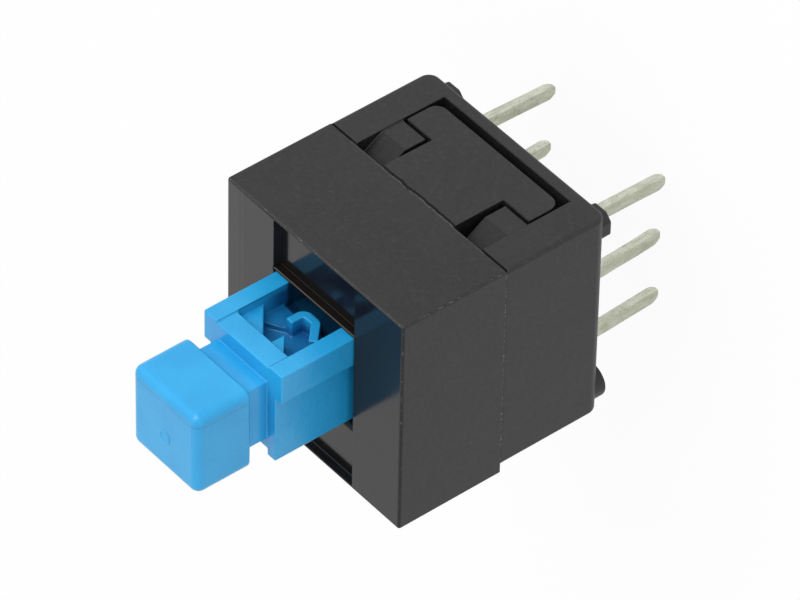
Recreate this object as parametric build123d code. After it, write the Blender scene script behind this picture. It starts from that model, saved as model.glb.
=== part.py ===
from build123d import *
import os

# Momentary push switch with a square body, for soldering upright into a board.
# The origin is the centre of the pin pattern, on the plane where the standoff feet meet the board.
# +Z runs out of the board along the plunger. X and Y run across the square body.
# The cam pocket in the plunger faces +X. Seen from the front with +X up, -Y is the right side.
# All sizes are in millimetres.

# Outer body: the cover is square, the base is set back from it on the side of -X
body_size = 8.5
under_step = 0.35
cover_depth = 4.0
base_depth = 4.0
foot_height = 0.35
cover_edge_round = 0.1
cover_front_round = 0.1
base_edge_round = 0.15
base_rear_round = 0.42

# Front cover
cover_wall = 0.75
front_wall = 1.0
slot_depth = 0.29
slot_lip = 0.12
window_chamfer = 0.12
window_lip = 0.1
window_lip_chamfer = 0.03

# Snap tongues of the cover, with their seats and barbs on the base
tongue_thick = 0.7
tongue_waist = 3.44
tongue_head = 5.86
tongue_head_length = 1.25
tongue_length = 3.22
tongue_corner = 0.4
tongue_side_gap = 0.08
tongue_end_gap = 0.3
tongue_back_gap = 0.08
barb_side_gap = 0.18
barb_catch_gap = 0.08
barb_flat = 0.82
barb_sink = 0.06
barb_toe = 0.06

# Contact base
floor_thick = 1.0
chamber_end_gap = 0.15
collar_height = 1.6
collar_gap = 0.1
spigot_diameter = 1.0
spigot_height = 1.2
spigot_chamfer = 0.2
gate_diameter = 1.6
gate_depth = 0.2
square_foot_size = 1.0
square_foot_chamfer = 0.25
square_foot_inset = 0.35
round_foot_diameter = 1.2
round_foot_inset = 0.02
round_foot_side_inset = 0.14
square_foot_side_inset = 0.24

# Terminals
pin_pitch = 2.5
row_spacing = 5.3
sheet_thick = 0.3
pin_width = 0.5
pin_reach = 3.3
pin_edge_round = 0.07
tip_length = 0.28
tip_taper = 0.1
pin_slot_gap = 0.02
blade_width = 0.8
heel_height = 0.4
stem_width = 0.45
stem_set_back = 0.15
pad_height = 1.5

# Plunger
travel = 2.5
block_height = 3.74
block_width = 3.2
block_reach = 2.73
flange_width = 3.8
flange_height = 1.13
block_side_gap = 0.06
block_top_gap = 0.05
block_under_gap = 0.43
under_notch_height = 0.26
under_notch_length = 0.6
neck_size = 2.4
neck_length = 0.93
head_size = 3.2
head_length = 2.08
head_round = 0.32
head_rear_round = 0.1
stop_gap = 0.05
shoulder_thick = 0.7
shoulder_side_gap = 0.15
carrier_width = 3.9
end_stop_gap = 0.15
bore_clearance = 0.2
bore_depth = 2.4

# Cam pocket in the top of the plunger
pocket_front_wall = 0.8
pocket_side_wall = 0.64
pocket_depth = 1.0
pocket_wall_step = 0.07
tooth_sink = 0.37
corner_tooth_width = 1.26
corner_tooth_length = 1.02
middle_tooth_start = 0.15
middle_tooth_width = 0.83
middle_tooth_length = 0.72
step_height = 0.2
step_length = 0.55
step_slant = 0.6
hook_wall = 0.3
hook_sink = 0.4
hook_top = 1.8
hook_short_arm = 0.27
hook_short_run = 0.6
hook_crown = 0.56
hook_long_arm = 0.62
hook_long_run = 0.6
hook_bend = 0.22

# Return spring
wire_diameter = 0.2
spring_diameter = 1.9
spring_turns = 9.0

# Moving contacts
wiper_sheet = 0.12
wiper_width = 0.6
wiper_blade_gap = 0.05
wiper_fall = 1.0
wiper_tail = 0.6
wiper_tail_gap = 0.08
web_height = 0.5
web_drop = 0.2
rivet_diameter = 0.4
rivet_head_diameter = 0.65
rivet_head_thick = 0.1

# Faces of the body along X and Y
half_body = body_size / 2
base_top = (body_size - under_step) / 2
cover_under = base_top - body_size
collar_x = base_top - cover_wall - collar_gap
collar_y = half_body - cover_wall - collar_gap

# Levels along Z
rear_level = foot_height
seam_level = rear_level + base_depth
front_level = seam_level + cover_depth
inner_front = front_level - front_wall
slot_level = front_level - slot_depth
floor_level = rear_level + floor_thick
collar_top = seam_level + collar_height
tongue_end = seam_level - tongue_length
catch_level = tongue_end + tongue_head_length
seat_end = tongue_end - tongue_end_gap
shoulder_top = inner_front - stop_gap
shoulder_base = shoulder_top - shoulder_thick
carrier_end = floor_level + travel + end_stop_gap
bore_end = carrier_end + bore_depth
block_front = front_level + block_reach
head_start = block_front + neck_length
head_front = head_start + head_length
web_top = shoulder_base - web_drop
web_low = web_top - web_height
wiper_level = web_low - wiper_fall
wiper_end = wiper_level - wiper_tail

# The two rows of terminals and the chamber between them
row_y = row_spacing / 2
blade_back = row_y + sheet_thick / 2
blade_face = row_y - sheet_thick / 2
heel_top = floor_level + heel_height
closed_pad_low = wiper_level - pad_height / 3
blade_top = closed_pad_low + pad_height
open_pad_top = wiper_level - travel + pad_height / 2
carrier_half = pin_pitch + wiper_width / 2
chamber_half = carrier_half + chamber_end_gap

# The window clears the plunger's block
block_top = block_height / 2
flange_under = block_top - flange_height
window_top = block_top + block_top_gap
window_under = -block_top - block_under_gap
slot_under = window_top + window_lip
window_half = flange_width / 2 + block_side_gap

# Cam pocket
pocket_floor = block_top - pocket_depth
pocket_half = flange_width / 2 - pocket_side_wall
pocket_front = block_front - pocket_front_wall

# The snap tongues' sides: direction along X, outer face of the cover, outer face of the base
snap_sides = ((1, base_top, base_top), (-1, cover_under, -base_top))


def block(x0, x1, y0, y1, z0, z1):
    """A box between its lowest and highest corners."""
    centre = Pos((x0 + x1) / 2, (y0 + y1) / 2, (z0 + z1) / 2)
    return centre * Box(x1 - x0, y1 - y0, z1 - z0)


def centred(x0, x1, y_half, z0, z1):
    """A box that reaches equally far to both sides of the middle plane."""
    return block(x0, x1, -y_half, y_half, z0, z1)


def plate(points, direction, thickness):
    """A flat outline of points in space, drawn out along a direction."""
    outline = Face(Wire.make_polygon([Vector(*p) for p in points], close=True))
    return extrude(outline, amount=thickness, dir=direction)


def near(value, target):
    return abs(value - target) < 1e-4


def snap_tongue(side, cover_face):
    """One T-shaped tongue of the cover, flush with the cover's outer face."""
    waist, head = tongue_waist / 2, tongue_head / 2
    back = cover_face - side * tongue_thick
    outline = [
        (back, -waist, seam_level), (back, -waist, catch_level),
        (back, -head, catch_level), (back, -head, tongue_end),
        (back, head, tongue_end), (back, head, catch_level),
        (back, waist, catch_level), (back, waist, seam_level),
    ]
    tongue = plate(outline, (side, 0, 0), tongue_thick)
    corners = [e for e in tongue.edges().filter_by(Axis.X) if near(e.center().Z, tongue_end)]
    return fillet(corners, tongue_corner)


def make_cover():
    """Front cover: a cap with the plunger's window, a shallow slot above and below it, and tongues."""
    cover = centred(cover_under, base_top, half_body, seam_level, front_level)
    cover = fillet(cover.edges().filter_by(Axis.Z), cover_edge_round)
    cover = fillet(cover.faces().sort_by(Axis.Z)[-1].edges(), cover_front_round)
    inside_y = half_body - cover_wall
    cover -= centred(
        cover_under + cover_wall, base_top - cover_wall, inside_y, seam_level, inner_front)
    cover -= centred(window_under, window_top, window_half, inner_front, front_level)
    cover -= centred(
        cover_under + slot_lip, window_under, window_half, slot_level, front_level)
    cover -= centred(
        slot_under, base_top - slot_lip, window_half, slot_level, front_level)
    across = cover.edges().filter_by(Axis.Y)
    rim = [
        e for e in across
        if near(e.center().Z, slot_level) and near(e.center().X, window_under)
    ]
    cover = chamfer(rim, window_chamfer)
    across = cover.edges().filter_by(Axis.Y)
    lip = [
        e for e in across
        if near(e.center().Z, front_level) and window_top - 0.01 < e.center().X < slot_under + 0.01
    ]
    cover = chamfer(lip, window_lip_chamfer)
    for side, cover_face, _ in snap_sides:
        cover += snap_tongue(side, cover_face)
    return cover


def seat_floor(side, cover_face):
    """The floor of a snap tongue's seat lies just behind the tongue."""
    return cover_face - side * (tongue_thick + tongue_back_gap)


def snap_barb(side, hand, cover_face, base_face):
    """One ramped barb on the seat's floor, that a tongue's head catches behind."""
    low = catch_level + barb_catch_gap
    start = tongue_waist / 2 + barb_side_gap
    width = tongue_head / 2 + tongue_side_gap - start
    floor, top, y = seat_floor(side, cover_face), base_face - side * barb_sink, hand * start
    outline = [
        (floor, y, low), (top, y, low), (top, y, low + barb_flat),
        (floor + side * barb_toe, y, seam_level), (floor, y, seam_level),
    ]
    return plate(outline, (0, hand, 0), width)


def make_feet():
    """Four standoff feet: eight-sided ones towards +X, round ones towards -X."""
    height = foot_height + base_rear_round
    square = Box(square_foot_size, square_foot_size, height)
    square = chamfer(square.edges().filter_by(Axis.Z), square_foot_chamfer)
    square_x = base_top - square_foot_inset - square_foot_size / 2
    square_y = half_body - square_foot_side_inset - square_foot_size / 2
    stud = Cylinder(round_foot_diameter / 2, height)
    stud_x = round_foot_inset + round_foot_diameter / 2 - base_top
    stud_y = half_body - round_foot_side_inset - round_foot_diameter / 2
    feet = []
    for hand in (1, -1):
        feet.append(Pos(square_x, hand * square_y, height / 2) * square)
        feet.append(Pos(stud_x, hand * stud_y, height / 2) * stud)
    return feet


def make_base():
    """Contact base: a box with the contact chamber, a collar inside the cover, seats and barbs."""
    base = centred(-base_top, base_top, half_body, rear_level, seam_level)
    rear_face = base.faces().sort_by(Axis.Z)[0]
    base = fillet(rear_face.edges().filter_by(Axis.X), base_rear_round)
    base = fillet([e for e in base.edges() if e.center().Z < seam_level - 0.01], base_edge_round)
    base += centred(-collar_x, collar_x, collar_y, seam_level, collar_top)
    base -= centred(-chamber_half, chamber_half, blade_back, floor_level, collar_top)
    for side, cover_face, base_face in snap_sides:
        floor = seat_floor(side, cover_face)
        low, high = sorted((floor, side * body_size))
        base -= centred(low, high, tongue_head / 2 + tongue_side_gap, seat_end, seam_level)
        for hand in (1, -1):
            base += snap_barb(side, hand, cover_face, base_face)
    for foot in make_feet():
        base += foot
    slot_x, slot_y = pin_width / 2 + pin_slot_gap, sheet_thick / 2 + pin_slot_gap
    for x in (-pin_pitch, 0, pin_pitch):
        for y in (-row_y, row_y):
            base -= block(x - slot_x, x + slot_x, y - slot_y, y + slot_y, 0, floor_level)
    groove_x, groove_y = stem_width / 2 + pin_slot_gap, blade_back + stem_set_back
    base -= centred(
        pin_pitch - groove_x, pin_pitch + groove_x, groove_y, heel_top - sheet_thick / 2, collar_top)
    base -= Pos(0, 0, rear_level + gate_depth / 2) * Cylinder(gate_diameter / 2, gate_depth)
    spigot = Cylinder(spigot_diameter / 2, spigot_height)
    spigot = chamfer(spigot.edges().group_by(Axis.Z)[-1], spigot_chamfer)
    return base + Pos(0, 0, floor_level + spigot_height / 2) * spigot


def make_terminal(x, hand, pad_low, pad_top):
    """A stamped terminal: a solder pin with a tapered tip, a heel on the floor and a pad."""
    y = hand * row_y

    def strip(width, z0, z1, set_back=0):
        y_mid = y + hand * set_back
        half = sheet_thick / 2
        return block(x - width / 2, x + width / 2, y_mid - half, y_mid + half, z0, z1)

    taper_level = tip_length - pin_reach
    pin = strip(pin_width, taper_level, floor_level)
    pin = fillet(pin.edges().filter_by(Axis.Z), pin_edge_round)
    tip_width, tip_thick = pin_width - 2 * tip_taper, sheet_thick - 2 * tip_taper
    tip = loft([
        Pos(x, y, taper_level) * RectangleRounded(pin_width, sheet_thick, pin_edge_round),
        Pos(x, y, -pin_reach) * RectangleRounded(tip_width, tip_thick, pin_edge_round / 2),
    ])
    terminal = pin + tip + strip(blade_width, floor_level, heel_top)
    if pad_low > heel_top:
        bend = sheet_thick / 2
        terminal += strip(stem_width, heel_top - bend, pad_low + bend, stem_set_back)
    return terminal + strip(blade_width, pad_low, pad_top)


def rivet_places():
    """The rivets stand midway between neighbouring wipers."""
    return (-pin_pitch / 2, pin_pitch / 2)


def make_rivet(x, hand):
    """A headed rivet on the carrier's side that holds a moving contact's web."""
    level = (web_top + web_low) / 2
    shank_end = carrier_width / 2 + wiper_sheet
    across = Rot(90, 0, 0)
    shank = across * Cylinder(rivet_diameter / 2, wiper_sheet)
    head = across * Cylinder(rivet_head_diameter / 2, rivet_head_thick)
    shank = Pos(x, hand * (shank_end - wiper_sheet / 2), level) * shank
    return shank + Pos(x, hand * (shank_end + rivet_head_thick / 2), level) * head


def cam_tooth(start, width, length, height):
    """A three-sided tooth on the pocket's front wall, with its straight flank towards +Y."""
    corners = [
        (pocket_floor, start, pocket_front), (pocket_floor, start, pocket_front - length),
        (pocket_floor, start - width, pocket_front),
    ]
    return plate(corners, (1, 0, 0), height)


def make_cam():
    """The cam's two teeth, the step between its tracks and its hooked guide wall."""
    tooth_height = pocket_depth - tooth_sink
    cam = cam_tooth(pocket_half, corner_tooth_width, corner_tooth_length, tooth_height)
    cam += cam_tooth(
        -middle_tooth_start, middle_tooth_width, middle_tooth_length, tooth_height)
    top = pocket_front - hook_top
    step = [
        (pocket_floor, pocket_half, top), (pocket_floor, hook_short_arm, top),
        (pocket_floor, hook_short_arm, top + step_length),
        (pocket_floor, pocket_half, top + step_length + step_slant),
    ]
    cam += plate(step, (1, 0, 0), step_height)
    path = FilletPolyline(
        (hook_short_arm, top + hook_short_run),
        (hook_short_arm, top),
        (hook_short_arm - hook_crown, top),
        (hook_short_arm - hook_crown - hook_long_arm, top + hook_long_run),
        radius=hook_bend)
    floor_plane = Plane(origin=(pocket_floor, 0, 0), x_dir=(0, 1, 0), z_dir=(1, 0, 0))
    hook = floor_plane * trace(path, hook_wall)
    return cam + extrude(hook, amount=pocket_depth - hook_sink)


def make_plunger():
    """Plunger: square head, neck, guided block with the cam pocket, shoulder and contact carrier."""
    head_half, neck_half = head_size / 2, neck_size / 2
    head = centred(-head_half, head_half, head_half, head_start, head_front)
    front_edges = [e for e in head.edges() if e.center().Z > head_start + head_round]
    head = fillet(front_edges, head_round)
    plunger = fillet(head.faces().sort_by(Axis.Z)[0].edges(), head_rear_round)
    plunger += centred(-neck_half, neck_half, neck_half, block_front, head_start + head_round)
    plunger += centred(-block_top, flange_under, block_width / 2, shoulder_top, block_front)
    plunger += centred(flange_under, block_top, flange_width / 2, shoulder_top, block_front)
    plunger -= centred(
        -block_top, -block_top + under_notch_height, neck_half,
        block_front - under_notch_length, block_front)
    shoulder_half = blade_face - shoulder_side_gap
    plunger += centred(-carrier_half, carrier_half, shoulder_half, shoulder_base, shoulder_top)
    plunger += centred(-carrier_half, carrier_half, carrier_width / 2, carrier_end, shoulder_base)
    bore = Cylinder(spring_diameter / 2 + bore_clearance, bore_depth)
    plunger -= Pos(0, 0, carrier_end + bore_depth / 2) * bore
    plunger -= centred(pocket_floor, block_top, pocket_half, shoulder_top, pocket_front)
    step_under = block_top - pocket_wall_step
    plunger -= centred(step_under, block_top, pocket_half, pocket_front, block_front)
    plunger += make_cam()
    for hand in (1, -1):
        for rivet_x in rivet_places():
            plunger += make_rivet(rivet_x, hand)
    return plunger


def make_moving_contact(hand):
    """A sprung plate with three wipers, riveted to one side of the carrier."""
    inner = carrier_width / 2
    y0, y1 = sorted((hand * inner, hand * (inner + wiper_sheet)))
    contact = block(-carrier_half, carrier_half, y0, y1, web_low, web_top)
    crest = blade_face - wiper_blade_gap - wiper_sheet
    path = [(inner, web_low), (crest, wiper_level), (inner + wiper_tail_gap, wiper_end)]
    for x in (-pin_pitch, 0, pin_pitch):
        left = x - wiper_width / 2
        near_side = [(left, hand * y, z) for y, z in path]
        far_side = [(left, hand * (y + wiper_sheet), z) for y, z in reversed(path)]
        contact += plate(near_side + far_side, (1, 0, 0), wiper_width)
    for rivet_x in rivet_places():
        contact -= make_rivet(rivet_x, hand)
    return contact


def make_spring():
    """Compression spring with ends ground flat, between the base's floor and the plunger's bore."""
    length = bore_end - floor_level
    radius = (spring_diameter - wire_diameter) / 2
    centre_line = Helix(pitch=length / spring_turns, height=length, radius=radius)
    start = Plane(origin=centre_line @ 0, z_dir=centre_line % 0)
    coil = sweep(start * Circle(wire_diameter / 2), path=centre_line, is_frenet=True)
    coil &= Pos(0, 0, length / 2) * Cylinder(spring_diameter, length)
    return Pos(0, 0, floor_level) * coil


pieces = {
    "front_cover": make_cover(),
    "contact_base": make_base(),
    "plunger": make_plunger(),
    "return_spring": make_spring(),
}
for pole, hand in (("left", 1), ("right", -1)):
    pieces[pole + "_closed_terminal"] = make_terminal(pin_pitch, hand, closed_pad_low, blade_top)
    pieces[pole + "_common_terminal"] = make_terminal(0, hand, heel_top, blade_top)
    pieces[pole + "_open_terminal"] = make_terminal(-pin_pitch, hand, heel_top, open_pad_top)
    pieces[pole + "_moving_contact"] = make_moving_contact(hand)

os.makedirs("parts", exist_ok=True)
for name, piece in pieces.items():
    export_step(piece, "parts/" + name + ".step")
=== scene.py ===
import math

import bmesh
import bpy
from mathutils import Matrix, Vector, noise


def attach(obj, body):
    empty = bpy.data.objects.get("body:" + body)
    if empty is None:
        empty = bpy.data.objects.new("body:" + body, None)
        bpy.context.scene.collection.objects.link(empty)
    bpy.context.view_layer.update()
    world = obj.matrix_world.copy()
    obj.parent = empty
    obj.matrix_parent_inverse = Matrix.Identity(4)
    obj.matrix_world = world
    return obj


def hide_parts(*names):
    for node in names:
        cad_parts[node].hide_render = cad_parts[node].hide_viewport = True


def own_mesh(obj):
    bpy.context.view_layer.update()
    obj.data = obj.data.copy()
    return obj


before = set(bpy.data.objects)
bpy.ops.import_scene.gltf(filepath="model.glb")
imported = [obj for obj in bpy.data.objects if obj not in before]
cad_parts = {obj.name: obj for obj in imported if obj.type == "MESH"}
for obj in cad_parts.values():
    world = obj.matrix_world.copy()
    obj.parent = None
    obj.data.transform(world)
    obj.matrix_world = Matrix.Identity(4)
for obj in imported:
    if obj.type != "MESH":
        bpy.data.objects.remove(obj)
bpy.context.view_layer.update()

# Shapes are drawn in millimetres, in the frame of the solids, and scaled when they become pieces
MM = 0.001

# Cover and base
HALF_BODY = 4.25
COVER_MIDDLE = -0.175
FRONT_LEVEL = 8.35
SEAM_LEVEL = 4.35
BASE_FLOOR = 1.35
LIP_X = 1.97
HALF_WAIST = 1.72

# Terminals
PIN_TIP = -3.3
PIN_PITCH = 2.5
ROW_Y = 2.65
TIP_LENGTH = 0.3
PIN_HALF_WIDTH = 0.25
SHEET_HALF = 0.15
BLADE_HALF_WIDTH = 0.4
STEM_HALF_WIDTH = 0.225
STEM_SET_BACK = 0.15
HEEL_TOP = 1.75
CLOSED_PAD_LOW = 4.4
OPEN_PAD_TOP = 3.15
BLADE_TOP = 5.9
DENT_SEED = 1795627591

# Plunger and spring
HEAD_REAR = 12.01
HEAD_FRONT = 14.09
POCKET_FLOOR = 0.87
POCKET_HALF = 1.26
SPRING_TOP = 6.4


class Wire:
    """A node's output that plain arithmetic works on."""

    def __init__(self, finish, socket):
        self.finish = finish
        self.socket = socket

    def maths(self, operation, *values):
        return self.finish.node("Math", {"operation": operation}, dict(enumerate(values)))

    def __add__(self, other):
        return self.maths("ADD", self, other)

    __radd__ = __add__

    def __sub__(self, other):
        return self.maths("SUBTRACT", self, other)

    def __rsub__(self, other):
        return self.maths("SUBTRACT", other, self)

    def __mul__(self, other):
        return self.maths("MULTIPLY", self, other)

    __rmul__ = __mul__

    def __abs__(self):
        return self.maths("ABSOLUTE", self)

    def larger(self, other):
        return self.maths("MAXIMUM", self, other)

    def within(self, low, high):
        """Rises smoothly from 0 at low to 1 at high."""
        return self.finish.node(
            "MapRange", {"interpolation_type": "SMOOTHSTEP"},
            {"Value": self, "From Min": low, "From Max": high})

    def band(self, centre, half, fade):
        """1 within half of the centre, fading out beyond it."""
        return 1 - abs(self - centre).within(half, half + fade)

    def near_face(self, face):
        """1 in a narrow strip beside an outer face at this distance or level."""
        return self.within(face - 0.09, face - 0.02)


class Finish:
    """The nodes of a material or of the world, with places on the piece in millimetres."""

    def __init__(self, owner):
        owner.use_nodes = True
        self.owner = owner
        self.tree = owner.node_tree
        self.tree.nodes.clear()

    def node(self, kind, settings=None, sockets=None, output=0):
        made = self.tree.nodes.new("ShaderNode" + kind)
        for name, value in (settings or {}).items():
            setattr(made, name, value)
        for key, value in (sockets or {}).items():
            if isinstance(value, Wire):
                self.tree.links.new(value.socket, made.inputs[key])
            else:
                made.inputs[key].default_value = value
        return Wire(self, made.outputs[output]) if made.outputs else None

    def place(self, stretch=(1, 1, 1)):
        """Position on the piece in millimetres, stretched along each axis."""
        metres = self.node("TexCoord", output="Object")
        scale = tuple(s / MM for s in stretch)
        return self.node("VectorMath", {"operation": "MULTIPLY"}, {0: metres, 1: scale})

    def axes(self, vector):
        split = self.node("SeparateXYZ", sockets={0: vector})
        made = split.socket.node
        return [Wire(self, made.outputs[k]) for k in range(3)]

    def facing(self):
        """The surface's normal along X, Y and Z."""
        return self.axes(self.node("NewGeometry", output="Normal"))

    def grain(self, per_mm, detail=2.0, roughness=0.5, stretch=(1, 1, 1)):
        """Soft noise of about 0 to 1."""
        return self.node(
            "TexNoise", sockets={
                "Vector": self.place(stretch), "Scale": per_mm, "Detail": detail,
                "Roughness": roughness})

    def specks(self, per_mm, size, share):
        """Sparse round specks of one size in millimetres, in a share of the noise's cells."""
        cells = {"Vector": self.place(), "Scale": per_mm}
        distance = self.node("TexVoronoi", sockets=cells)
        tint = self.node("TexVoronoi", sockets=cells, output="Color")
        marked = self.node("SeparateColor", sockets={0: tint}).within(1 - share, 1.001 - share)
        return (1 - distance.within(size * per_mm * 0.5, size * per_mm)) * marked

    def seen(self):
        """1 for rays that show the white background: the camera's, and through gloss or glass."""
        rays = [
            self.node("LightPath", output="Is %s Ray" % kind)
            for kind in ("Camera", "Glossy", "Transmission")]
        return rays[0].larger(rays[1]).larger(rays[2])

    def mix(self, factor, first, second):
        """From the first colour at factor 0 to the second at 1."""
        first = first if isinstance(first, Wire) else (*first, 1)
        second = second if isinstance(second, Wire) else (*second, 1)
        return self.node("Mix", {"data_type": "RGBA"}, {0: factor, 6: first, 7: second}, 2)

    def bump(self, height):
        """Normal from a height in millimetres."""
        return self.node("Bump", sockets={"Strength": 1.0, "Distance": MM, "Height": height})

    def close(self, surface, kind="Material"):
        self.node("Output" + kind, sockets={0: surface})
        return self.owner


def material(name):
    return Finish(bpy.data.materials.new(name))


def black_plastic():
    """Moulded black plastic: polished where it faces the front, fine spark grain elsewhere, with
    painted shade and painted highlights at its seam, window lip and edges.
    """
    f = material("black_plastic")
    x, y, z = f.axes(f.place())
    facing_x, facing_y, facing_z = f.facing()
    side_y = abs(y)
    on_top = facing_x.within(0.4, 0.8)
    cloud = f.grain(0.7, 3.0)
    medium = f.grain(7, 3.0, 0.6)
    chips = f.grain(8, 4.0, 0.75)
    fine = f.grain(26, 3.0, 0.6)
    polished = facing_z.within(0.9, 0.97) * z.within(FRONT_LEVEL - 0.5, FRONT_LEVEL - 0.45)
    matte = 1 - polished
    dust = f.specks(1.3, 0.035, 0.3) * matte

    # Chips along the cover's outer edges, and a line of painted shade on the roundings beside its
    # front edges
    corner = (
        abs(x - COVER_MIDDLE).near_face(HALF_BODY) + side_y.near_face(HALF_BODY)
        + z.near_face(FRONT_LEVEL))
    wear = corner.within(1.6, 1.95) * chips.within(0.57, 0.64)
    front_edge_shade = (
        side_y.within(4.1, 4.16) * abs(facing_y).band(0.7, 0.3, 0.1) * facing_z.within(0.3, 0.4))

    # Seam of cover and base: a jagged raised burr across the tongues, painted lighter as a
    # highlight line, with painted shade in a band below it, a dark joint beside the tongues, and
    # painted highlights as lighter dots along the seam on the sides
    waist = (1 - side_y.within(HALF_WAIST - 0.02, HALF_WAIST)) * abs(facing_x).within(0.4, 0.8)
    fringe = waist.larger(on_top * (1 - side_y.within(3.1, 3.3)) * 0.6)
    wandering = z + (f.grain(1.3, 3.0, 0.7) - 0.5) * 0.18
    burr = wandering.band(SEAM_LEVEL + 0.01, 0.012, 0.025) * chips.within(0.3, 0.5) * fringe
    # Painted shade in a band below the burr on the tongues
    flank = wandering.band(SEAM_LEVEL - 0.04, 0.045, 0.04) * waist * (1 - burr)
    joint = z.band(SEAM_LEVEL - 0.03, 0.025, 0.03) * (1 - waist)
    joint = joint * (0.12 + 0.88 * on_top) * (1 - burr)
    seam_highlight_dots = z.band(SEAM_LEVEL, 0.012, 0.02) * chips.within(0.5, 0.62) * (1 - on_top)

    # The window's lip, with painted highlights on its edges and painted shade on its face;
    # painted shade on the base's rear rim behind the tongue and on the barbs' ramps
    lip = x.band(LIP_X, 0.07, 0.02) * (1 - side_y.within(1.98, 2.02)) * z.within(7.7, 7.8)
    lip_edge_highlight = lip * abs(facing_x).band(0.72, 0.22, 0.1) * facing_z.within(0.2, 0.3)
    rim = z.band(0.42, 0.012, 0.02) * y.band(0.7, 0.55, 0.1) * facing_x.within(0.6, 0.9)
    under_seam = 1 - z.within(SEAM_LEVEL - 0.04, SEAM_LEVEL - 0.01)
    ramp = facing_z.band(0.5, 0.2, 0.15) * abs(facing_x).within(0.6, 0.75) * under_seam

    colour = f.mix(cloud.within(0.3, 0.7), (0.0068, 0.0068, 0.0078), (0.010, 0.0098, 0.0102))
    colour = f.mix(medium.within(0.45, 0.75) * matte, colour, (0.017, 0.0165, 0.017))
    # Painted highlight: a gold tint on the edges of the window's lip
    colour = f.mix(lip_edge_highlight, colour, (0.032, 0.025, 0.015))
    colour = f.mix(dust, colour, (0.11, 0.11, 0.105))
    # Chips along the edges, and painted highlights as lighter dots along the seam
    colour = f.mix(wear.larger(seam_highlight_dots), colour, (0.15, 0.15, 0.145))
    # Painted highlight: the burr lighter than the plastic
    colour = f.mix(burr, colour, (0.05, 0.05, 0.048))
    roughness = 0.46 + 0.12 * (cloud - 0.5) - polished * 0.31 + burr * 0.1
    height = (
        (fine - 0.5) * 0.006 * matte + (medium - 0.5) * 0.004 * matte + (cloud - 0.5) * 0.004
        + burr * 0.02 + wear * 0.006)
    shader = f.node("BsdfPrincipled", sockets={
        "Base Color": colour, "Roughness": roughness, "IOR": 1.48, "Normal": f.bump(height)})

    # Painted shade: a dark matt finish mixed in at the seam's joint, and as painted shade beside
    # the burr, on the rim, the ramps, the lip's face, along the front edges and across the
    # polished front
    shade = f.node("BsdfDiffuse", sockets={"Color": (0.008, 0.006, 0.005, 1)})
    # Painted shade and painted reflection across the polished front: darker towards -Y, lighter
    # beyond y 3.46, and a darker line at y 3.6
    painted_front_shade = (
        0.1 + 0.13 * (0 - y).within(-3.4, 3.4) - 0.08 * y.within(3.42, 3.46)
        + 0.16 * y.band(3.6, 0.01, 0.03))
    dark = joint.larger(flank * 0.75).larger(rim * 0.6).larger(ramp * 0.4)
    dark = dark.larger((lip - lip_edge_highlight) * 0.85).larger(front_edge_shade * (1 - wear) * 0.35)
    dark = dark.larger(polished * painted_front_shade)
    return f.close(f.node("MixShader", sockets={0: dark, 1: shader, 2: shade}))


def blue_plastic():
    """Slightly translucent blue plastic, with a parting line round the head and painted shade in
    its deep pocket.
    """
    f = material("blue_plastic")
    x, y, z = f.axes(f.place())
    facing_x = f.facing()[0]
    side_y = abs(y)
    cloud = f.grain(0.5, 2.0)
    fine = f.grain(16, 3.0, 0.55)
    flow = f.grain(0.9, 2.0, 0.5, (1, 1, 0.35))
    waves = f.grain(2.6, 3.0, 0.55)
    parting = x.band(1.2, 0.008, 0.02) * z.within(HEAD_REAR + 0.09, HEAD_REAR + 0.19)
    colour = f.mix(cloud.within(0.3, 0.7), (0.014, 0.32, 0.66), (0.020, 0.365, 0.715))
    colour = f.mix(flow.within(0.5, 0.75) * 0.12, colour, (0.06, 0.41, 0.72))
    colour = f.mix(parting * 0.55, colour, (0.01, 0.16, 0.42))

    # Painted shade in the pocket: darker towards its floor, its side walls and the cover
    hollow = x.within(POCKET_FLOOR - 0.07, POCKET_FLOOR - 0.03)
    hollow = hollow * (1 - side_y.within(POCKET_HALF + 0.002, POCKET_HALF + 0.015))
    pocket = hollow * z.band(9.2, 1.08, 0.01)
    low = pocket * (1 - x.within(0.95, 1.44)) * (0.62 + 0.3 * (1 - z.within(8.4, 9.4)))
    walls = pocket * (1 - z.within(8.5, 9.5)) * (1 - x.within(1.5, 1.9))
    walls = walls * (1 - facing_x.within(0.5, 0.8)) * side_y.within(0.6, 0.8) * 0.85
    shade_under_cover = hollow * (1 - z.within(8.27, 8.45)) * 0.9
    colour = f.mix(low.larger(walls), colour, (0.004, 0.065, 0.23))
    colour = f.mix(shade_under_cover, colour, (0.003, 0.016, 0.045))

    height = (
        (fine - 0.5) * 0.002 + (cloud - 0.5) * 0.008 + (waves - 0.5) * 0.012 - parting * 0.006)
    shader = f.node("BsdfPrincipled", sockets={
        "Base Color": colour, "Roughness": 0.29 + 0.1 * (fine - 0.5), "IOR": 1.48,
        "Subsurface Weight": 0.06, "Subsurface Scale": 0.3 * MM,
        "Subsurface Radius": (0.2, 0.7, 1.0), "Normal": f.bump(height)})
    return f.close(shader)


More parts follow.
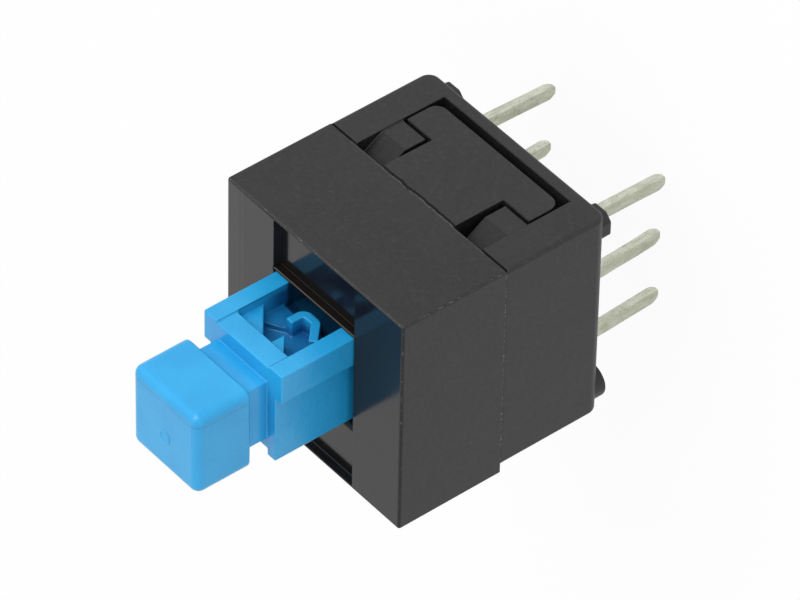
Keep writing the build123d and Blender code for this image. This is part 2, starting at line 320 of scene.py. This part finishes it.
def tinned_metal():
    """Dull tin plate with streaks along the pin, pits, a greenish bloom and painted shade on the
    faces that don't look along X.
    """
    f = material("tinned_metal")
    facing_x = f.facing()[0]
    streaks = f.grain(7, 4.0, 0.65, (1, 1, 0.18))
    bloom = f.grain(1.6, 3.0, 0.6)
    pits = f.grain(15, 3.0, 0.6).within(0.58, 0.68)
    painted_side_shade = 1 - abs(facing_x).within(0.5, 0.8)
    colour = f.mix(streaks.within(0.35, 0.7), (0.66, 0.67, 0.58), (0.47, 0.49, 0.38))
    colour = f.mix(bloom.within(0.45, 0.7) * 0.5, colour, (0.38, 0.41, 0.25))
    # Painted shade: greyer on the faces that don't look along X
    colour = f.mix(painted_side_shade * 0.45, colour, (0.33, 0.34, 0.26))
    colour = f.mix(pits * 0.6, colour, (0.25, 0.26, 0.21))
    height = (streaks - 0.5) * 0.008 + (bloom - 0.5) * 0.012 - pits * 0.004
    shader = f.node("BsdfPrincipled", sockets={
        "Base Color": colour, "Metallic": 1.0, "Roughness": 0.36 + 0.25 * (bloom - 0.4),
        "Normal": f.bump(height)})
    return f.close(shader)


def drawn_metal(name, tint, roughness):
    """Drawn wire or rolled strip with fine lines."""
    f = material(name)
    lines = f.grain(9, 3.0, 0.6, (1, 1, 0.3))
    colour = f.mix(lines.within(0.35, 0.65), tint, tuple(0.78 * c for c in tint))
    shader = f.node("BsdfPrincipled", sockets={
        "Base Color": colour, "Metallic": 1.0, "Roughness": roughness + 0.15 * (lines - 0.5),
        "Normal": f.bump((lines - 0.5) * 0.006)})
    return f.close(shader)


def floor_finish():
    """White studio floor: the camera sees it near white, and the object's shadow stays on it."""
    f = material("studio_floor")
    diffuse = f.node("BsdfDiffuse", sockets={"Color": (0.86, 0.86, 0.86, 1)})
    white = f.node("Emission", sockets={"Color": (1, 1, 1, 1), "Strength": 1.0})
    return f.close(f.node("MixShader", sockets={0: f.seen() * 0.93, 1: diffuse, 2: white}))


def white_room():
    """A world that is white to look at and lights the object a little less."""
    f = Finish(bpy.data.worlds.new("white_room"))
    light = 0.7
    white = f.node("Background", sockets={
        "Color": (1, 1, 1, 1), "Strength": light + (1 - light) * f.seen()})
    return f.close(white, "World")


def softened(node, width):
    """A CAD node's shape in millimetres, its flat faces joined and its sharp edges rounded."""
    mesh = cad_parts[node].data.copy()
    mesh.transform(Matrix.Scale(1 / MM, 4))
    edit = bmesh.new()
    edit.from_mesh(mesh)
    bmesh.ops.remove_doubles(edit, verts=edit.verts, dist=0.0005)
    bmesh.ops.dissolve_limit(
        edit, angle_limit=math.radians(0.5), verts=edit.verts, edges=edit.edges)
    bmesh.ops.triangulate(edit, faces=edit.faces)
    rounding = edit.edges.layers.float.new("bevel_weight_edge")
    for edge in edit.edges:
        corners = [v.co for v in edge.verts]
        on_seam = all(
            abs(p.z - SEAM_LEVEL) < 0.01 and max(abs(p.x - COVER_MIDDLE), abs(p.y)) > 4.1
            for p in corners)
        on_lip = node == "front_cover" and any(
            abs(p.x - LIP_X) < 0.07 and abs(p.y) < 2.01 and p.z < FRONT_LEVEL + 0.01
            for p in corners)
        if edge.is_manifold and edge.calc_face_angle() > math.radians(27) and not on_seam:
            edge[rounding] = 0.25 if on_lip else 1.0
    edit.to_mesh(mesh)
    edit.free()

    holder = bpy.data.objects.new(node + "_soft", mesh)
    bpy.context.scene.collection.objects.link(holder)
    bevel = holder.modifiers.new("round", "BEVEL")
    bevel.width = width
    bevel.segments = 2
    bevel.limit_method = "WEIGHT"
    bevel.use_clamp_overlap = False
    bevel.loop_slide = False
    bpy.context.view_layer.update()
    result = bpy.data.meshes.new_from_object(
        holder.evaluated_get(bpy.context.evaluated_depsgraph_get()))
    bpy.data.objects.remove(holder)

    edit = bmesh.new()
    edit.from_mesh(result)
    bmesh.ops.remove_doubles(edit, verts=edit.verts, dist=0.001)
    bmesh.ops.dissolve_degenerate(edit, edges=edit.edges, dist=0.001)
    bmesh.ops.dissolve_limit(
        edit, angle_limit=math.radians(0.6), verts=edit.verts, edges=edit.edges)
    bmesh.ops.triangulate(edit, faces=edit.faces)
    edit.to_mesh(result)
    edit.free()
    shade_flats(result)
    return result


def shade_flats(mesh):
    """Sets the normals: flat faces shade flat, and the roundings between them shade smooth."""
    same_flat, same_corner = math.radians(1), math.radians(50)
    edit = bmesh.new()
    edit.from_mesh(mesh)
    edit.faces.ensure_lookup_table()
    region, sizes = {}, []
    for face in edit.faces:
        if face.index in region:
            continue
        region[face.index] = len(sizes)
        waiting, size = [face], 0.0
        while waiting:
            here = waiting.pop()
            size += here.calc_area()
            for other in (f for edge in here.edges for f in edge.link_faces):
                if other.index not in region and other.normal.angle(face.normal, 9) < same_flat:
                    region[other.index] = len(sizes)
                    waiting.append(other)
        sizes.append(size)
    normals = []
    for face in edit.faces:
        for corner in face.loops:
            shares = {
                region[other.index]: other.normal for other in corner.vert.link_faces
                if other.normal.angle(face.normal, 9) < same_corner}
            total = sum((sizes[k] ** 2 * n for k, n in shares.items()), Vector())
            normals.append(total.normalized() if total.length > 0 else face.normal.copy())
    edit.free()
    for polygon in mesh.polygons:
        polygon.use_smooth = True
    mesh.normals_split_custom_set(normals)


def shade_smooth(mesh, sharp_degrees):
    for polygon in mesh.polygons:
        polygon.use_smooth = True
    mesh.set_sharp_from_angle(angle=math.radians(sharp_degrees))


def piece(name, mesh, body, finish, slot, *nodes):
    """Adds a mesh in millimetres as a piece that rides on a body and stands for CAD nodes."""
    mesh.transform(Matrix.Scale(MM, 4))
    mesh.name = name
    made = bpy.data.objects.new(name, mesh)
    bpy.context.scene.collection.objects.link(made)
    mesh.materials.clear()
    mesh.materials.append(finish)
    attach(made, body)
    if nodes:
        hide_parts(*nodes)
    return made


def skin(rings):
    """A closed mesh over rings of points, each ring joined to the next."""
    edit = bmesh.new()
    rows = [[edit.verts.new(p) for p in ring] for ring in rings]
    count = len(rows[0])
    for low, high in zip(rows, rows[1:]):
        for k in range(count):
            edit.faces.new((low[k], low[(k + 1) % count], high[(k + 1) % count], high[k]))
    edit.faces.new(rows[0][::-1])
    edit.faces.new(rows[-1])
    bmesh.ops.recalc_face_normals(edit, faces=edit.faces)
    mesh = bpy.data.meshes.new("skin")
    edit.to_mesh(mesh)
    edit.free()
    return mesh


def rounded_ring(x, y, z, half_x, half_y, corner, steps=4):
    """Points round a rectangle with rounded corners, at one level."""
    points = []
    for quarter, (sx, sy) in enumerate(((1, 1), (-1, 1), (-1, -1), (1, -1))):
        for k in range(steps + 1):
            turn = math.pi / 2 * (quarter + k / steps)
            points.append((
                x + sx * (half_x - corner) + corner * math.cos(turn),
                y + sy * (half_y - corner) + corner * math.sin(turn), z))
    return points


def pin_ring(x, y, z, lean):
    """The pin's outline at one level: tapered at the tip, leaning and dented below the base."""
    bend_level, dented_level, dent = 0.3, 0.2, 0.01
    rise = z - PIN_TIP
    taper = 1 - 0.42 * max(0.0, 1 - rise / TIP_LENGTH) ** 1.6
    bend = (max(0.0, bend_level - z) / (bend_level - PIN_TIP)) ** 1.4
    half_x, half_y = PIN_HALF_WIDTH * taper, SHEET_HALF * (0.15 + 0.85 * taper)
    ring = rounded_ring(x + lean[0] * bend, y + lean[1] * bend, z, half_x, half_y, 0.045)
    if z >= dented_level:
        return ring
    return [
        Vector(p) + dent * noise.noise_vector(Vector((p[0] * 2.1, p[1] * 2.1, p[2] * 1.6)))
        * min(1, rise + 0.15) for p in ring]


def terminal(name, x, hand, pad_low, pad_top, lean):
    """A stamped terminal: a slightly bent pin, a heel, and a pad in the chamber."""
    y = hand * ROW_Y
    levels = [PIN_TIP + rise for rise in (0, 0.03, 0.1, 0.2, TIP_LENGTH)]
    levels += [PIN_TIP + TIP_LENGTH + 0.12 * k for k in range(1, 36)]
    levels = [z for z in levels if z < BASE_FLOOR - 0.02] + [BASE_FLOOR - 0.005]
    rings = [pin_ring(x, y, z, lean) for z in levels]

    # Levels of the blade, with its half width and how far it is set back; some have a stem
    blade = [(BASE_FLOOR + 0.005, BLADE_HALF_WIDTH, 0)]
    if pad_low > HEEL_TOP:
        blade += [
            (HEEL_TOP, BLADE_HALF_WIDTH, 0), (HEEL_TOP + 0.01, STEM_HALF_WIDTH, STEM_SET_BACK),
            (pad_low - 0.01, STEM_HALF_WIDTH, STEM_SET_BACK), (pad_low, BLADE_HALF_WIDTH, 0)]
    blade += [(pad_top - 0.03, BLADE_HALF_WIDTH, 0), (pad_top, BLADE_HALF_WIDTH - 0.03, 0)]
    for z, half_x, back in blade:
        rings.append(rounded_ring(x, y + hand * back, z, half_x, SHEET_HALF, 0.03))
    mesh = skin(rings)
    shade_smooth(mesh, 40)
    return piece(name + "_pin", mesh, "housing", tin, "tinned_metal", name)


def coil(low, high, radius, wire, turns):
    """A compression spring with a flat dead turn at each end."""
    sides, per_turn, dead = 10, 28, 0.9
    dead_rise = wire * 1.05
    rings = []
    count = int(turns * per_turn)
    for k in range(count + 1):
        turn = turns * k / count
        if turn < dead:
            rise = turn / dead * dead_rise
        elif turn > turns - dead:
            rise = (high - low - wire) - (turns - turn) / dead * dead_rise
        else:
            share = (turn - dead) / (turns - 2 * dead)
            rise = dead_rise + share * (high - low - wire - 2 * dead_rise)
        angle = 2 * math.pi * turn
        out = Vector((math.cos(angle), math.sin(angle), 0))
        centre = out * radius + Vector((0, 0, low + wire / 2 + rise))
        rings.append([
            centre + wire / 2 * (out * math.cos(a) + Vector((0, 0, math.sin(a))))
            for a in (2 * math.pi * s / sides for s in range(sides))])
    mesh = skin(rings)
    shade_smooth(mesh, 60)
    return mesh


def ring_mark(x, y, z, radius, thick):
    """A fine raised ring on a face that looks along Z."""
    sides, around = 40, 10
    edit = bmesh.new()
    rows = []
    for k in range(sides):
        angle = 2 * math.pi * k / sides
        out = Vector((math.cos(angle), math.sin(angle), 0))
        row = []
        for s in range(around):
            turn = 2 * math.pi * s / around
            row.append(edit.verts.new(
                Vector((x, y, z)) + out * (radius + thick * math.cos(turn))
                + Vector((0, 0, thick * 0.5 * math.sin(turn)))))
        rows.append(row)
    for k in range(sides):
        here, onward = rows[k], rows[(k + 1) % sides]
        for s in range(around):
            after = (s + 1) % around
            edit.faces.new((here[s], onward[s], onward[after], here[after]))
    bmesh.ops.recalc_face_normals(edit, faces=edit.faces)
    mesh = bpy.data.meshes.new("ring")
    edit.to_mesh(mesh)
    edit.free()
    shade_smooth(mesh, 60)
    return mesh


# Camera: a long lens above the right side, rolled so that +X is upright in the picture
camera_data = bpy.data.cameras.new("photo_camera")
camera_data.lens = 350.23
camera_data.sensor_width = 36
camera_data.clip_start = 0.01
camera_data.clip_end = 10
camera = bpy.data.objects.new("photo_camera", camera_data)
right = (0.01591, -0.62977, -0.77662)
up = (0.72673, 0.54076, -0.42361)
back = (0.68674, -0.55764, 0.46627)
spot = (0.163746, -0.132879, 0.116050)
camera.matrix_world = Matrix(
    [(right[k], up[k], back[k], spot[k]) for k in range(3)] + [(0, 0, 0, 1)])
bpy.context.scene.collection.objects.link(camera)
bpy.context.scene.camera = camera

black = black_plastic()
blue = blue_plastic()
tin = tinned_metal()
steel = drawn_metal("spring_steel", (0.62, 0.61, 0.59), 0.28)
contact_metal = drawn_metal("contact_metal", (0.83, 0.80, 0.72), 0.3)

# Mouldings and wipers: their CAD shapes with edges rounded by the given width
for node, name, body, finish, slot, width in (
        ("front_cover", "cover_shell", "housing", black, "black_plastic", 0.04),
        ("contact_base", "base_block", "housing", black, "black_plastic", 0.04),
        ("plunger", "push_rod", "plunger", blue, "blue_plastic", 0.05)):
    piece(name, softened(node, width), body, finish, slot, node)

for node in ("left_moving_contact", "right_moving_contact"):
    piece(node + "_plate", softened(node, 0.015), "plunger", contact_metal, "contact_metal", node)

# The dents' noise starts from a fixed seed, as it would otherwise start from the clock
noise.seed_set(DENT_SEED)

# Each terminal: place along X, side, lowest and highest level of its pad, and lean of its tip
for name, x, hand, pad_low, pad_top, lean in (
        ("left_closed_terminal", PIN_PITCH, 1, CLOSED_PAD_LOW, BLADE_TOP, (-0.135, 0.0)),
        ("left_common_terminal", 0, 1, HEEL_TOP, BLADE_TOP, (-0.08, 0.11)),
        ("left_open_terminal", -PIN_PITCH, 1, HEEL_TOP, OPEN_PAD_TOP, (0.02, 0.05)),
        ("right_closed_terminal", PIN_PITCH, -1, CLOSED_PAD_LOW, BLADE_TOP, (-0.137, 0.035)),
        ("right_common_terminal", 0, -1, HEEL_TOP, BLADE_TOP, (0.005, 0.141)),
        ("right_open_terminal", -PIN_PITCH, -1, HEEL_TOP, OPEN_PAD_TOP, (0.07, 0.087))):
    terminal(name, x, hand, pad_low, pad_top, lean)

spring_shape = coil(BASE_FLOOR, SPRING_TOP, radius=0.85, wire=0.2, turns=9.5)
spring = piece(
    "return_spring_coil", spring_shape, "housing", steel, "spring_steel", "return_spring")
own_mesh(spring)

gate_ring = ring_mark(-0.2, -0.03, HEAD_FRONT, radius=0.22, thick=0.055)
piece("head_gate_ring", gate_ring, "plunger", blue, "blue_plastic")

# Floor just under the pin tips, soft lamps and a white room; distances here are in metres
floor_mesh = bpy.data.meshes.new("studio_floor")
edit = bmesh.new()
bmesh.ops.create_grid(edit, x_segments=2, y_segments=2, size=1.5)
edit.to_mesh(floor_mesh)
edit.free()
floor = bpy.data.objects.new("studio_floor", floor_mesh)
floor.location.z = PIN_TIP * MM - 0.00002
floor_mesh.materials.append(floor_finish())
bpy.context.scene.collection.objects.link(floor)

# Each lamp: the way from the object to it, how far off it is, and its power in watts
for name, direction, distance, power in (
        ("key_lamp", (1.0, 0.05, 0.7), 0.35, 0.8),
        ("side_lamp", (0.1, -1.0, 0.25), 0.35, 0.12),
        ("front_lamp", (0.15, 0.2, 1.0), 0.4, 0.12)):
    data = bpy.data.lights.new(name, "AREA")
    data.shape = "SQUARE"
    data.size = 0.3
    data.energy = power
    lamp = bpy.data.objects.new(name, data)
    aim = Vector(direction).normalized()
    lamp.location = aim * distance + Vector((0, 0, 0.005))
    lamp.rotation_mode = "QUATERNION"
    lamp.rotation_quaternion = aim.to_track_quat("Z", "Y")
    bpy.context.scene.collection.objects.link(lamp)

bpy.context.scene.world = white_room()
bpy.context.scene.view_settings.view_transform = "Standard"
